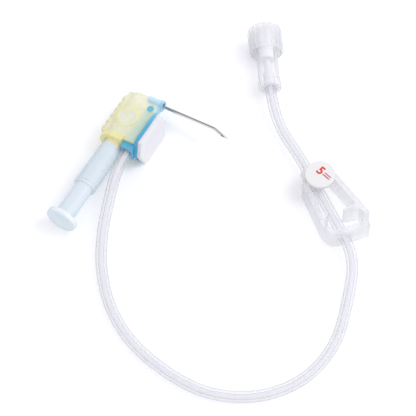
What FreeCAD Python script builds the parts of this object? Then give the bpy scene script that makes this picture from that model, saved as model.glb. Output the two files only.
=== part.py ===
"""Safety Huber needle set: needle head with a hinged telescoping sheath, tubing, clamp and capped luer.

The row frame stands on the table at Z = 0, below the middle of the needle head. +Y runs along the
sheath arm towards the needle end, and +X is the needle's direction seen from above.

The head is drawn in its own frame first: x is the needle's direction with 0 at the pad side of the
base plate, y runs along the arm with 0 near the pivot, and z is across, with 0 on the middle plane.
It is then rolled about the arm until the thumb flange and the edge of the plate both touch the table.
"""

import FreeCAD
import Part

import math
import os

Vector = FreeCAD.Vector

# Needle: 20 gauge, 19 mm long, bent tip whose bevel is ground parallel to the shaft
NEEDLE_R = 0.45
NEEDLE_LUMEN_R = 0.30
NEEDLE_SHAFT_END = 13.3
NEEDLE_TIP_ANGLE = 18.0
NEEDLE_TIP_LENGTH = 5.2
NEEDLE_TIP_OFFSET = 0.65
NEEDLE_ELBOW_R = 1.2
NEEDLE_TIP_BEND_R = 2.5

# Base plate, foam pad and spine
PLATE_LENGTH = 13.0
PLATE_WIDTH = 9.4
PLATE_FLANK = 10.0
PLATE_HEAD_TIP = 1.95
PLATE_T = 1.0
PLATE_CORNER_R = 1.8
PLATE_TIP_R = 3.2
PAD_T = 1.2
PAD_INSET = 0.1
SPINE_HALF_WIDTH = 2.85
SPINE_TOP = 3.95
SPINE_TAIL = -8.6
PIN_R = 0.85
PIN_X = -3.0
PIN_Y = 1.45
PIN_CLEARANCE = 0.05

# Sheath arm
ARM_X = -7.2
OUTER_R = 2.95
OUTER_BORE_R = 2.55
OUTER_LENGTH = 21.5
OUTER_TAIL = -25.0
OUTER_LIP_LENGTH = 1.2
OUTER_BEAD_H = 0.08
SLIDE_CLEARANCE = 0.05
INNER_R = 2.4
INNER_BORE_R = 1.9
INNER_LENGTH = 19.7
INNER_RING_LENGTH = 1.0
FLANGE_R = 4.1
FLANGE_T = 1.3
FLANGE_EDGE_R = 0.4
FLANGE_DISH_R = 2.8
FLANGE_DISH_DEPTH = 0.3
TUBE_SHOWN = 9.9

# Gripper housing
HOUSING_HALF_WIDTH = 3.7
HOUSING_BACK = 0.3
HOUSING_WALL = 0.7
HOUSING_HEAD = 4.7
HOUSING_FOOT_GAP = 0.3
HOUSING_LEG_TAIL = -9.6
HOUSING_EAR_R = 1.6
BULKHEAD_HEAD = -6.8
COLLAR_FOOT_X = -4.6
RIM_TAIL = -10.4
RIM_HEAD = -8.9
RIM_H = 0.25
GLUE_GAP = 0.03
BACK_H = 0.65
BACK_CHAMFER = 0.5
TOOTH_COUNT = 6
TOOTH_PITCH = 2.0
TOOTH_FIRST = -8.4
TOOTH_H = 1.25
TOOTH_FOOT = 1.7
TOOTH_CREST = 0.5
TOOTH_LEAN = 0.3
TOOTH_SPAN = 86.0
BOSS_X = -6.9
BOSS_Y = -3.3
BOSS_R = 3.0
BOSS_H = 0.15
BOSS_DISH_R = 2.3
BOSS_DISH_DEPTH = 0.45

# Needle hub
HUB_R = 1.25
HUB_TOP = -7.0
HUB_END = -2.0
HUB_DOME_R = 0.8
HUB_FLARE_R = 1.45
HUB_FLARE_LENGTH = 1.0
HUB_CONE_LENGTH = 1.0
HUB_CUP_R = 1.0
HUB_CUP_DEPTH = 0.9
LINK_HALF_WIDTH = 0.9
LINK_TOP = -4.1
LINK_FOOT = -2.1
LINK_TAIL = 0.9
LINK_FIT = 0.03
LEG_X = -3.1
LEG_TAIL = 1.3

# Tubing and its socket in the base
TUBE_R = 1.45
TUBE_LUMEN_R = 0.75
SOCKET_X = -2.6
SOCKET_Z = 1.0
SOCKET_MOUTH = -11.5
SOCKET_DEPTH = 2.3
SOCKET_TOP = -4.3
SOCKET_FAR_WALL = 0.9
CHANNEL_R = 0.45
SHEATH_CLEARANCE = 0.15
ARC_SHARE = 0.45

# Pinch clamp, lying on its side
CLAMP_ORIGIN = (50.9, 6.25)
CLAMP_TURN = 51.0
CLAMP_LENGTH = 18.2
CLAMP_HEIGHT = 6.5
CLAMP_WALL = 1.4
CLAMP_FOOT_WIDTH = 11.4
CLAMP_TUBE_FOOT_X = 4.7
CLAMP_TUBE_HEAD_X = 3.7
CLAMP_FOOT_R = 4.0
CLAMP_HEAD_R = 2.0
CLAMP_HOLE_GAP = 0.35
HOOK_REACH = 0.85
HOOK_T = 1.4
WEB_X = 6.5
WEB_GAP = 0.02
WEB_WEDGE = 18.0
LEVER_HEAD_RUN = 2.7
LEVER_SLOPE = 15.0
LEVER_TIP = 3.3
LEVER_CORNER_R = 1.9
RIDGE_Y = 6.2
RIDGE_FOOT = 1.8
RIDGE_CREST = 0.5
BASE_RIDGE_H = 1.3
LEVER_RIDGE_H = 3.6

# Round tag with its clip on the tubing
TAG_R = 3.85
TAG_T = 1.2
TAG_EDGE_R = 0.25
TAG_GAP = 0.1
TAG_CLIP_LENGTH = 2.4
TAG_CLIP_WALL = 0.6
TAG_CLIP_Y = 19.0
TAG_CENTRE = (4.9, 17.1)
TAG_NECK_HALF_WIDTH = 1.0

# Luer connector and cap
LUER_ORIGIN = (16.3, 38.95)
LUER_TURN = 124.0
LUER_R = 2.75
LUER_COLLAR_R = 3.0
LUER_COLLAR_LENGTH = 1.6
LUER_LENGTH = 16.3
LUER_SHOWN = 10.9
LUER_SOCKET_DEPTH = 4.5
LUER_PASSAGE_R = 0.9
LUER_CONE_R = 2.15
LUER_CONE_DEPTH = 7.5
LUER_CONE_TAPER = 0.03
LUER_LUG_R = 3.85
LUER_LUG_T = 1.6
LUER_LUG_SPAN = 76.0
LUER_RIB_COUNT = 4
LUER_RIB_W = 0.7
LUER_RIB_H = 0.3
CAP_R = 4.25
CAP_RIB_H = 0.3
CAP_RIB_COUNT = 18
CAP_RIB_SHARE = 0.5
CAP_LENGTH = 7.6
CAP_SKIRT_R = 3.95
CAP_END_T = 1.3
CAP_EDGE_R = 0.5
CAP_CHAMFER = 0.25
CAP_PLUG_LENGTH = 5.4
CAP_PLUG_BORE_R = 1.1
CAP_PLUG_GAP = 0.04

# Route of the tubing: straight runs at both sockets and through the clamp, the rest chosen by hand
FIRST_RUN = 6.7
LAST_RUN = 8.3
CLAMP_RUN_START = -6.0
CLAMP_RUN_END = 25.8
ROUTE_BEFORE_CLAMP = [
    (-3.1, -9.3, 3.9),
    (-0.2, -17.8, 1.8),
    (4.6, -26.6, 1.5),
    (12.2, -35.1, 1.5),
    (22.0, -41.0, 1.5),
    (33.8, -43.6, 1.5),
    (45.6, -43.5, 1.5),
    (56.8, -37.8, 1.5),
    (63.9, -28.0, 1.5),
    (65.6, -16.4, 1.5),
    (62.9, -5.8, 1.5),
]
ROUTE_AFTER_CLAMP = [
    (24.4, 30.4, 2.3),
]

PIN_TO_ARM = PIN_X - ARM_X
BACK_X = ARM_X - HOUSING_BACK
NEEDLE_Y = PIN_Y + PIN_TO_ARM
INNER_TAIL = OUTER_TAIL - TUBE_SHOWN
PLATE_MIDDLE = PLATE_HEAD_TIP - PLATE_LENGTH / 2.0
LUER_HEIGHT = CAP_R + CAP_RIB_H


def box(low, high):
    """A box between two corners."""
    size = [high[k] - low[k] for k in range(3)]
    return Part.makeBox(size[0], size[1], size[2], Vector(*low))


def prism(points, direction):
    """A straight prism on a closed outline of straight edges."""
    outline = Part.makePolygon([Vector(*p) for p in points + points[:1]])
    return Part.Face(outline).extrude(Vector(*direction))


def rod(radius, start, end):
    """A cylinder between two points."""
    first = Vector(start)
    along = Vector(end).sub(first)
    return Part.makeCylinder(radius, along.Length, first, along)


def turned(profile, origin, direction, across):
    """A full turn of a closed (place along, radius) profile about an axis."""
    base = Vector(*origin)
    along = Vector(*direction)
    out = Vector(*across)
    points = [base + along * p[0] + out * p[1] for p in profile]
    return Part.Face(Part.makePolygon(points + points[:1])).revolve(base, along, 360.0)


def edges_along(solid, direction, test):
    """The straight edges of a solid along a direction whose middle passes the test."""
    found = []
    for edge in solid.Edges:
        if edge.Curve.TypeId != "Part::GeomLine":
            continue
        way = edge.Vertexes[-1].Point.sub(edge.Vertexes[0].Point)
        middle = (edge.Vertexes[-1].Point + edge.Vertexes[0].Point) * 0.5
        if way.cross(Vector(*direction)).Length < 1e-6 and test(middle):
            found.append(edge)
    return found


def rounded_path(points):
    """Straight runs joined by tangent arcs, each as large as its two runs allow."""
    runs = [points[k + 1].sub(points[k]) for k in range(len(points) - 1)]
    edges = []
    radii = []
    at = points[0]
    for k in range(1, len(points) - 1):
        before = Vector(runs[k - 1]).normalize()
        after = Vector(runs[k]).normalize()
        half_turn = before.getAngle(after) / 2.0
        cut = ARC_SHARE * min(runs[k - 1].Length, runs[k].Length)
        radius = cut / math.tan(half_turn)
        start = points[k] - before * cut
        end = points[k] + after * cut
        inward = (after - before).normalize()
        middle = points[k] + inward * (radius / math.cos(half_turn) - radius)
        edges.append(Part.LineSegment(at, start).toShape())
        edges.append(Part.Arc(start, middle, end).toShape())
        radii.append(radius)
        at = end
    edges.append(Part.LineSegment(at, points[-1]).toShape())
    return Part.Wire(edges), radii


def piped(path, radius):
    """A round rod of one radius along a wire."""
    start = path.OrderedEdges[0]
    point = start.valueAt(start.FirstParameter)
    way = start.tangentAt(start.FirstParameter)
    ring = Part.Wire(Part.makeCircle(radius, point, way))
    return path.makePipeShell([ring], True, False)


def plate_outline(x, thickness, inset):
    """The long six-sided plate with rounded corners, thickness along +x."""
    half_width = PLATE_WIDTH / 2.0 - inset
    half_flank = PLATE_FLANK / 2.0
    half_length = PLATE_LENGTH / 2.0 - inset
    middle = PLATE_MIDDLE
    points = [
        (x, middle + half_length, 0.0),
        (x, middle + half_flank, half_width),
        (x, middle - half_flank, half_width),
        (x, middle - half_length, 0.0),
        (x, middle - half_flank, -half_width),
        (x, middle + half_flank, -half_width),
    ]
    plate = prism(points, (thickness, 0.0, 0.0))
    plate = plate.makeFillet(PLATE_CORNER_R, edges_along(plate, (1, 0, 0), lambda p: abs(p.z) > 0.1))
    return plate.makeFillet(PLATE_TIP_R, edges_along(plate, (1, 0, 0), lambda p: abs(p.z) < 0.1))


def sheath_envelope(clearance):
    """The room that the outer sheath and its end bead need."""
    return rod(OUTER_R + OUTER_BEAD_H + clearance, (ARM_X, OUTER_TAIL, 0), (ARM_X, HOUSING_HEAD, 0))


def link_block(fit):
    """The flat link between the hub's barrel and the base, with a fit all round."""
    low = (LINK_TOP - fit, LINK_TAIL - fit, -LINK_HALF_WIDTH - fit)
    high = (LINK_FOOT + fit, NEEDLE_Y, LINK_HALF_WIDTH + fit)
    return box(low, high)


def needle_path():
    """Leg in the link, elbow, shaft and offset tip of the needle."""
    bend = math.radians(NEEDLE_TIP_ANGLE)
    tip = (
        NEEDLE_SHAFT_END + NEEDLE_TIP_LENGTH * math.cos(bend),
        NEEDLE_Y - NEEDLE_TIP_LENGTH * math.sin(bend),
    )
    corner = Vector(LEG_X, NEEDLE_Y, 0)
    knee = Vector(NEEDLE_SHAFT_END, NEEDLE_Y, 0)
    end = Vector(tip[0], tip[1], 0)
    elbow_in = corner - Vector(0, NEEDLE_ELBOW_R, 0)
    elbow_out = corner + Vector(NEEDLE_ELBOW_R, 0, 0)
    elbow_rise = NEEDLE_ELBOW_R * (1.0 - math.sqrt(0.5))
    elbow_mid = corner + Vector(elbow_rise, -elbow_rise, 0)
    cut = NEEDLE_TIP_BEND_R * math.tan(bend / 2.0)
    knee_in = knee - Vector(cut, 0, 0)
    knee_out = knee + (end - knee).normalize() * cut
    sag = NEEDLE_TIP_BEND_R * (1.0 - math.cos(bend / 2.0))
    knee_mid = (knee_in + knee_out) * 0.5 + Vector(math.sin(bend / 2.0), math.cos(bend / 2.0), 0) * sag
    return Part.Wire([
        Part.LineSegment(Vector(LEG_X, LEG_TAIL, 0), elbow_in).toShape(),
        Part.Arc(elbow_in, elbow_mid, elbow_out).toShape(),
        Part.LineSegment(elbow_out, knee_in).toShape(),
        Part.Arc(knee_in, knee_mid, knee_out).toShape(),
        Part.LineSegment(knee_out, end).toShape(),
    ])


def make_needle(path):
    """Bent steel tube with a bevel ground on its offset tip."""
    tube = piped(path, NEEDLE_R).cut(piped(path, NEEDLE_LUMEN_R))
    bevel_y = NEEDLE_Y - NEEDLE_TIP_OFFSET - NEEDLE_R
    ground = box((NEEDLE_SHAFT_END, bevel_y - 5.0, -2.0), (NEEDLE_SHAFT_END + 9.0, bevel_y, 2.0))
    return tube.cut(ground)


def make_hub(path):
    """Light blue nose: domed barrel with a flared, cupped end, the link, and the hole for the needle."""
    cup = HUB_END - HUB_CUP_DEPTH
    flare = HUB_END - HUB_FLARE_LENGTH
    barrel = turned(
        [
            (HUB_TOP, 0.0),
            (HUB_TOP, HUB_R),
            (flare - HUB_CONE_LENGTH, HUB_R),
            (flare, HUB_FLARE_R),
            (HUB_END, HUB_FLARE_R),
            (HUB_END, HUB_CUP_R),
            (cup, HUB_CUP_R),
            (cup, 0.0),
        ],
        (0, NEEDLE_Y, 0),
        (1, 0, 0),
        (0, 0, 1),
    )
    dome = [e for e in barrel.Edges if abs(e.BoundBox.XMax - HUB_TOP) < 1e-6 and e.Length > 1.0]
    barrel = barrel.makeFillet(HUB_DOME_R, dome)
    hub = barrel.fuse(link_block(0.0)).removeSplitter()
    inlet = rod(NEEDLE_R, (LEG_X, 0, 0), (LEG_X, LEG_TAIL, 0))
    return hub.cut(piped(path, NEEDLE_R)).cut(inlet)


def make_base_body():
    """Teal moulding: plate, spine rounded about the pivot, pivot pins, and the tubing socket."""
    plate = plate_outline(-PLATE_T, PLATE_T, 0.0)
    half = SPINE_HALF_WIDTH
    spine = box((-SPINE_TOP, SPINE_TAIL, -half), (-PLATE_T, PIN_Y, half))
    knuckle_r = PIN_X + SPINE_TOP
    knuckle = rod(knuckle_r, (PIN_X, PIN_Y, -half), (PIN_X, PIN_Y, half))
    pins = rod(PIN_R, (PIN_X, PIN_Y, -HOUSING_HALF_WIDTH), (PIN_X, PIN_Y, HOUSING_HALF_WIDTH))
    socket_low = (SOCKET_TOP, SOCKET_MOUTH, SOCKET_Z - TUBE_R - SOCKET_FAR_WALL)
    socket = box(socket_low, (-PLATE_T, SPINE_TAIL, half))
    body = plate.multiFuse([spine, knuckle, pins, socket])
    bore_end = SOCKET_MOUTH + SOCKET_DEPTH
    bore = rod(TUBE_R, (SOCKET_X, SOCKET_MOUTH - 1.0, SOCKET_Z), (SOCKET_X, bore_end, SOCKET_Z))
    channel = rod(CHANNEL_R, (SOCKET_X, bore_end - 0.1, SOCKET_Z), (LEG_X, LINK_TAIL, 0))
    body = body.cut(bore).cut(channel).cut(sheath_envelope(SHEATH_CLEARANCE)).cut(link_block(LINK_FIT))
    return body.removeSplitter()


def make_foam_pad():
    """White foam pad glued on the plate."""
    return plate_outline(0.0, PAD_T, PAD_INSET)


def housing_section(half_width, y_tail, y_head, foot):
    """A U-shaped bar beside the arm axis: a half round back and straight sides down to the foot."""
    back = rod(half_width, (BACK_X, y_tail, 0), (BACK_X, y_head, 0))
    sides = box((BACK_X, y_tail, -half_width), (foot, y_head, half_width))
    return back.fuse(sides).removeSplitter()


def over_back(profile):
    """A closed (place along y, radius) profile swept over the grip's back, about the arm's middle."""
    begin = math.radians(180.0 - TOOTH_SPAN / 2.0)
    points = [
        Vector(BACK_X + r * math.cos(begin), place, -r * math.sin(begin)) for place, r in profile
    ]
    face = Part.Face(Part.makePolygon(points + points[:1]))
    return face.revolve(Vector(BACK_X, 0, 0), Vector(0, 1, 0), TOOTH_SPAN)


def raised_back():
    """The thick strip of wall that the grip teeth stand on."""
    foot = HOUSING_HALF_WIDTH - 0.2
    top = HOUSING_HALF_WIDTH + BACK_H
    return over_back([
        (RIM_HEAD, foot),
        (RIM_HEAD, top),
        (HOUSING_HEAD - BACK_CHAMFER, top),
        (HOUSING_HEAD, top - BACK_CHAMFER),
        (HOUSING_HEAD, foot),
    ])


def grip_tooth(y):
    """One saw-like grip tooth on the raised back."""
    foot = HOUSING_HALF_WIDTH + BACK_H - 0.2
    crest = HOUSING_HALF_WIDTH + TOOTH_H
    return over_back([
        (y, foot),
        (y + TOOTH_LEAN, crest),
        (y + TOOTH_LEAN + TOOTH_CREST, crest),
        (y + TOOTH_FOOT, foot),
    ])


def thumb_boss(side):
    """Round boss on one side wall."""
    inner = side * (HOUSING_HALF_WIDTH - HOUSING_WALL)
    outer = side * (HOUSING_HALF_WIDTH + BOSS_H)
    return rod(BOSS_R, (BOSS_X, BOSS_Y, inner), (BOSS_X, BOSS_Y, outer))


def thumb_dish(side):
    """The dish cut in a boss: a spherical hollow of the given radius and depth."""
    ball_r = (BOSS_DISH_R ** 2 + BOSS_DISH_DEPTH ** 2) / (2.0 * BOSS_DISH_DEPTH)
    rim = HOUSING_HALF_WIDTH + BOSS_H
    centre = side * (rim - BOSS_DISH_DEPTH + ball_r)
    return Part.makeSphere(ball_r, Vector(BOSS_X, BOSS_Y, centre))


def ear_profile():
    """The housing's side view: legs with ears rounded about the pin, sloped up to the head end."""
    foot = -PLATE_T - HOUSING_FOOT_GAP
    ear = PIN_Y + HOUSING_EAR_R
    back = BACK_X - HOUSING_HALF_WIDTH - TOOTH_H - 1.0
    reach = HOUSING_HALF_WIDTH + BOSS_H + 1.0
    shoulder = 2.0 * PIN_X - foot - 0.1
    rise = HOUSING_HEAD - ear
    points = [
        (foot, HOUSING_LEG_TAIL, -reach),
        (foot, ear, -reach),
        (shoulder, ear, -reach),
        (shoulder - 0.6 * rise, HOUSING_HEAD, -reach),
        (back, HOUSING_HEAD, -reach),
        (back, RIM_TAIL, -reach),
        (COLLAR_FOOT_X, RIM_TAIL, -reach),
        (COLLAR_FOOT_X, HOUSING_LEG_TAIL, -reach),
    ]
    profile = prism(points, (0, 0, 2.0 * reach))
    corner = edges_along(profile, (0, 0, 1), lambda p: abs(p.x - foot) + abs(p.y - ear) < 1e-6)
    return profile.makeFillet(HOUSING_EAR_R - 0.05, corner)


def make_housing():
    """Yellow housing: U-shaped shell with ears, bulkhead, rim, grip teeth and dished bosses."""
    foot = -PLATE_T - HOUSING_FOOT_GAP
    shell = housing_section(HOUSING_HALF_WIDTH, RIM_TAIL, HOUSING_HEAD, foot)
    head_rim = [
        e for e in shell.Edges
        if abs(e.BoundBox.YMin - HOUSING_HEAD) < 1e-6 and e.BoundBox.XMax < BACK_X + 0.1
    ]
    shell = shell.makeFillet(0.5 * HOUSING_WALL, head_rim)
    rim = housing_section(HOUSING_HALF_WIDTH + RIM_H, RIM_TAIL, RIM_HEAD, COLLAR_FOOT_X)
    teeth = [grip_tooth(TOOTH_FIRST + k * TOOTH_PITCH) for k in range(TOOTH_COUNT)]
    solid = shell.multiFuse([rim, raised_back()] + teeth + [thumb_boss(1.0), thumb_boss(-1.0)])
    cavity_r = HOUSING_HALF_WIDTH - HOUSING_WALL
    cavity = housing_section(cavity_r, BULKHEAD_HEAD, HOUSING_HEAD + 1.0, foot + 1.0)
    tail_room = box((COLLAR_FOOT_X, RIM_TAIL - 1.0, -cavity_r), (foot + 1.0, BULKHEAD_HEAD, cavity_r))
    bore = rod(OUTER_R + GLUE_GAP, (ARM_X, RIM_TAIL - 1.0, 0), (ARM_X, BULKHEAD_HEAD + 1.0, 0))
    reach = HOUSING_HALF_WIDTH + 1.0
    pin_hole = rod(PIN_R + PIN_CLEARANCE, (PIN_X, PIN_Y, -reach), (PIN_X, PIN_Y, reach))
    solid = solid.common(ear_profile())
    for tool in (cavity, tail_room, bore, pin_hole, thumb_dish(1.0), thumb_dish(-1.0)):
        solid = solid.cut(tool)
    return solid.removeSplitter()


def make_outer_sheath():
    """Outer tube with a bead outside and a stop lip inside its tail."""
    head = OUTER_TAIL + OUTER_LENGTH
    lip = OUTER_TAIL + OUTER_LIP_LENGTH
    lip_r = INNER_R + SLIDE_CLEARANCE
    return turned(
        [
            (OUTER_TAIL, lip_r),
            (OUTER_TAIL, OUTER_R + OUTER_BEAD_H),
            (lip, OUTER_R + OUTER_BEAD_H),
            (lip, OUTER_R),
            (head, OUTER_R),
            (head, OUTER_BORE_R),
            (lip, OUTER_BORE_R),
            (lip, lip_r),
        ],
        (ARM_X, 0, 0),
        (0, 1, 0),
        (0, 0, 1),
    )


def make_inner_sheath():
    """Inner tube, blind at the thumb flange, with a stop ring at its head end."""
    head = INNER_TAIL + INNER_LENGTH
    ring = head - INNER_RING_LENGTH
    ring_r = OUTER_BORE_R - SLIDE_CLEARANCE
    end = INNER_TAIL - FLANGE_T
    tube = turned(
        [
            (end, 0.0),
            (end, FLANGE_R),
            (INNER_TAIL, FLANGE_R),
            (INNER_TAIL, INNER_R),
            (ring, INNER_R),
            (ring, ring_r),
            (head, ring_r),
            (head, INNER_BORE_R),
            (INNER_TAIL, INNER_BORE_R),
            (INNER_TAIL, 0.0),
        ],
        (ARM_X, 0, 0),
        (0, 1, 0),
        (0, 0, 1),
    )
    rim = [e for e in tube.Edges if e.Length > 2.0 * math.pi * (FLANGE_R - 0.01)]
    tube = tube.makeFillet(FLANGE_EDGE_R, rim)
    ball_r = (FLANGE_DISH_R ** 2 + FLANGE_DISH_DEPTH ** 2) / (2.0 * FLANGE_DISH_DEPTH)
    dish = Part.makeSphere(ball_r, Vector(ARM_X, end + FLANGE_DISH_DEPTH - ball_r, 0))
    return tube.cut(dish)


def bent_wall(points, corner, radii):
    """A clamp wall on an outline of straight edges, its outer and inner corner rounded as one bend."""
    wall = prism(points, (0, 0, CLAMP_HEIGHT))
    for place, r in zip(corner, radii):
        found = edges_along(wall, (0, 0, 1), lambda p: math.hypot(p.x - place[0], p.y - place[1]) < 1e-6)
        wall = wall.makeFillet(r, found)
    return wall


def ridge(x, y, height, side):
    """A pinch ridge across the clamp, standing on a wall at x and pointing to one side."""
    foot = RIDGE_FOOT / 2.0
    crest = RIDGE_CREST / 2.0
    points = [
        (x - side * 0.8, y - foot, 0.0),
        (x, y - foot, 0.0),
        (x + side * height, y - crest, 0.0),
        (x + side * height, y + crest, 0.0),
        (x, y + foot, 0.0),
        (x - side * 0.8, y + foot, 0.0),
    ]
    return prism(points, (0, 0, CLAMP_HEIGHT))


def clamp_tube_point(y):
    """The tubing's middle in the clamp's own frame at a place along the clamp."""
    share = y / CLAMP_LENGTH
    x = CLAMP_TUBE_FOOT_X + share * (CLAMP_TUBE_HEAD_X - CLAMP_TUBE_FOOT_X)
    return Vector(x, y, CLAMP_HEIGHT / 2.0)


def make_clamp_body():
    """Clamp: base strip, rounded latch wall with its hook, and the head wall up to the living hinge."""
    wall = CLAMP_WALL
    length = CLAMP_LENGTH
    half = length / 2.0
    foot = bent_wall(
        [(0, half, 0), (0, 0, 0), (CLAMP_FOOT_WIDTH, 0, 0), (CLAMP_FOOT_WIDTH, wall, 0), (wall, wall, 0), (wall, half, 0)],
        ((0, 0), (wall, wall)),
        (CLAMP_FOOT_R, CLAMP_FOOT_R - wall),
    )
    inner = length - wall
    head = bent_wall(
        [(0, half, 0), (0, length, 0), (WEB_X, length, 0), (WEB_X, inner, 0), (wall, inner, 0), (wall, half, 0)],
        ((0, length), (wall, inner)),
        (CLAMP_HEAD_R, CLAMP_HEAD_R - wall),
    )
    top = CLAMP_FOOT_WIDTH
    hook = prism(
        [(top, wall - 0.4, 0), (top, wall, 0), (top - HOOK_T, wall + HOOK_REACH, 0), (top - HOOK_T, wall - 0.4, 0)],
        (0, 0, CLAMP_HEIGHT),
    )
    body = foot.multiFuse([head, hook, ridge(wall, RIDGE_Y, BASE_RIDGE_H, 1.0)])
    hole = rod(TUBE_R + CLAMP_HOLE_GAP, clamp_tube_point(-1.0), clamp_tube_point(length + 1.0))
    return body.cut(hole).removeSplitter()


def make_clamp_lever():
    """Lever: starts at the living hinge, rounds the head corner and runs out to its tip, with a ridge."""
    wall = CLAMP_WALL
    slope = math.radians(LEVER_SLOPE)
    length = CLAMP_LENGTH
    inner = length - wall
    start = WEB_X + WEB_GAP
    notch = start + wall * math.tan(math.radians(WEB_WEDGE))
    skew = wall / math.cos(slope)

    def outer_x(y):
        return WEB_X + LEVER_HEAD_RUN + (length - LEVER_CORNER_R - y) * math.tan(slope)

    corner = (outer_x(length), length)
    inner_corner = (outer_x(inner) - skew, inner)
    setback = math.tan((math.pi / 2.0 - slope) / 2.0)
    inner_r = min(LEVER_CORNER_R - wall, 0.9 * (inner_corner[0] - notch) / setback)
    lever = bent_wall(
        [
            (start, length, 0),
            (corner[0], corner[1], 0),
            (outer_x(LEVER_TIP), LEVER_TIP, 0),
            (outer_x(LEVER_TIP) - skew, LEVER_TIP, 0),
            (inner_corner[0], inner_corner[1], 0),
            (notch, inner, 0),
        ],
        (corner, inner_corner),
        (LEVER_CORNER_R, inner_r),
    )
    crest = ridge(outer_x(RIDGE_Y) - skew, RIDGE_Y, LEVER_RIDGE_H, -1.0)
    return lever.fuse(crest).removeSplitter()


def make_flow_tag():
    """Round tag above the clamp's head, on a neck from its clip round the tubing."""
    low = CLAMP_HEIGHT + TAG_GAP
    disc = rod(TAG_R, (TAG_CENTRE[0], TAG_CENTRE[1], low), (TAG_CENTRE[0], TAG_CENTRE[1], low + TAG_T))
    disc = disc.makeFillet(TAG_EDGE_R, [e for e in disc.Edges if e.Length > 2.0 * TAG_T * math.pi])
    clip_start = clamp_tube_point(TAG_CLIP_Y)
    clip_end = TAG_CLIP_Y + TAG_CLIP_LENGTH
    clip = rod(TUBE_R + TAG_CLIP_WALL, clip_start, clamp_tube_point(clip_end))
    neck_w = TAG_NECK_HALF_WIDTH
    neck_high = (clip_start.x + neck_w, TAG_CENTRE[1] + 0.9 * TAG_R, low + 0.2)
    neck = box((clip_start.x - neck_w, TAG_CLIP_Y, clip_start.z), neck_high)
    bore = rod(TUBE_R, clamp_tube_point(TAG_CLIP_Y - 1.0), clamp_tube_point(clip_end + 1.0))
    return disc.multiFuse([clip, neck]).cut(bore).removeSplitter()


def make_luer_connector():
    """Clear female luer: ribbed body, tubing socket, sealing cone, and the lugs under the cap."""
    cone_end = LUER_LENGTH - LUER_CONE_DEPTH
    narrow = LUER_CONE_R - LUER_CONE_TAPER * LUER_CONE_DEPTH
    body = turned(
        [
            (0.0, TUBE_R),
            (0.0, LUER_COLLAR_R),
            (LUER_COLLAR_LENGTH, LUER_COLLAR_R),
            (LUER_COLLAR_LENGTH + 0.4, LUER_R),
            (LUER_LENGTH, LUER_R),
            (LUER_LENGTH, LUER_CONE_R),
            (cone_end, narrow),
            (cone_end, LUER_PASSAGE_R),
            (LUER_SOCKET_DEPTH, LUER_PASSAGE_R),
            (LUER_SOCKET_DEPTH, TUBE_R),
        ],
        (0, 0, 0),
        (1, 0, 0),
        (0, 0, 1),
    )
    lug = turned(
        [
            (LUER_LENGTH - LUER_LUG_T, LUER_R - 0.2),
            (LUER_LENGTH - 0.6 * LUER_LUG_T, LUER_LUG_R),
            (LUER_LENGTH, LUER_LUG_R),
            (LUER_LENGTH, LUER_R - 0.2),
        ],
        (0, 0, 0),
        (1, 0, 0),
        (0, 0, 1),
    )
    reach = LUER_LUG_R + 1.0
    flat = LUER_LUG_R * math.sin(math.radians(LUER_LUG_SPAN / 2.0))
    band = box((0, -reach, -flat), (LUER_LENGTH + 1.0, reach, flat))
    ribs = []
    for k in range(LUER_RIB_COUNT):
        rib = box(
            (LUER_COLLAR_LENGTH, LUER_R - 0.3, -LUER_RIB_W / 2.0),
            (LUER_SHOWN - 0.5, LUER_R + LUER_RIB_H, LUER_RIB_W / 2.0),
        )
        rib.rotate(Vector(0, 0, 0), Vector(1, 0, 0), 45.0 + k * 360.0 / LUER_RIB_COUNT)
        ribs.append(rib)
    return body.multiFuse([lug.common(band)] + ribs).removeSplitter()


def make_luer_cap():
    """Clear cap: ribbed skirt, closed end, and the hollow plug that seals the cone."""
    mouth = LUER_SHOWN
    end = mouth + CAP_LENGTH
    inside = end - CAP_END_T
    plug_end = inside - CAP_PLUG_LENGTH
    plug_r = LUER_CONE_R - CAP_PLUG_GAP
    tip_r = plug_r - LUER_CONE_TAPER * (LUER_LENGTH - plug_end)
    root_r = plug_r + LUER_CONE_TAPER * (inside - LUER_LENGTH)
    cap = turned(
        [
            (mouth, CAP_SKIRT_R),
            (mouth, CAP_R - CAP_CHAMFER),
            (mouth + CAP_CHAMFER, CAP_R),
            (end - CAP_EDGE_R, CAP_R),
            (end, CAP_R - CAP_EDGE_R),
            (end, 0.0),
            (inside, 0.0),
            (inside, CAP_PLUG_BORE_R),
            (plug_end, CAP_PLUG_BORE_R),
            (plug_end, tip_r),
            (inside, root_r),
            (inside, CAP_SKIRT_R),
        ],
        (0, 0, 0),
        (1, 0, 0),
        (0, 0, 1),
    )
    rib_w = CAP_RIB_SHARE * 2.0 * math.pi * CAP_R / CAP_RIB_COUNT
    ribs = []
    for k in range(CAP_RIB_COUNT):
        points = [
            (mouth + 0.6, CAP_R - 0.15, -rib_w / 2.0),
            (mouth + 0.6, CAP_R + CAP_RIB_H, -rib_w / 4.0),
            (mouth + 0.6, CAP_R + CAP_RIB_H, rib_w / 4.0),
            (mouth + 0.6, CAP_R - 0.15, rib_w / 2.0),
        ]
        rib = prism(points, (CAP_LENGTH - 0.6 - CAP_EDGE_R, 0, 0))
        rib.rotate(Vector(0, 0, 0), Vector(1, 0, 0), (k + 0.5) * 360.0 / CAP_RIB_COUNT)
        ribs.append(rib)
    return cap.multiFuse(ribs).removeSplitter()


def head_roll():
    """The roll at which the thumb flange and the plate's lower edge both touch the table."""
    drop = PLATE_WIDTH / 2.0
    arm = -ARM_X - PLATE_T
    return math.acos(FLANGE_R / math.hypot(drop, arm)) - math.atan2(arm, drop)


def head_height(roll):
    """The height of the head frame's origin above the table."""
    return FLANGE_R - ARM_X * math.sin(roll)


def place_head(shape, roll, shift):
    """Turns a head piece into the row frame."""
    placed = shape.copy()
    placed.rotate(Vector(0, 0, 0), Vector(0, 1, 0), -math.degrees(roll))
    placed.translate(shift)
    return placed


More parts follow.
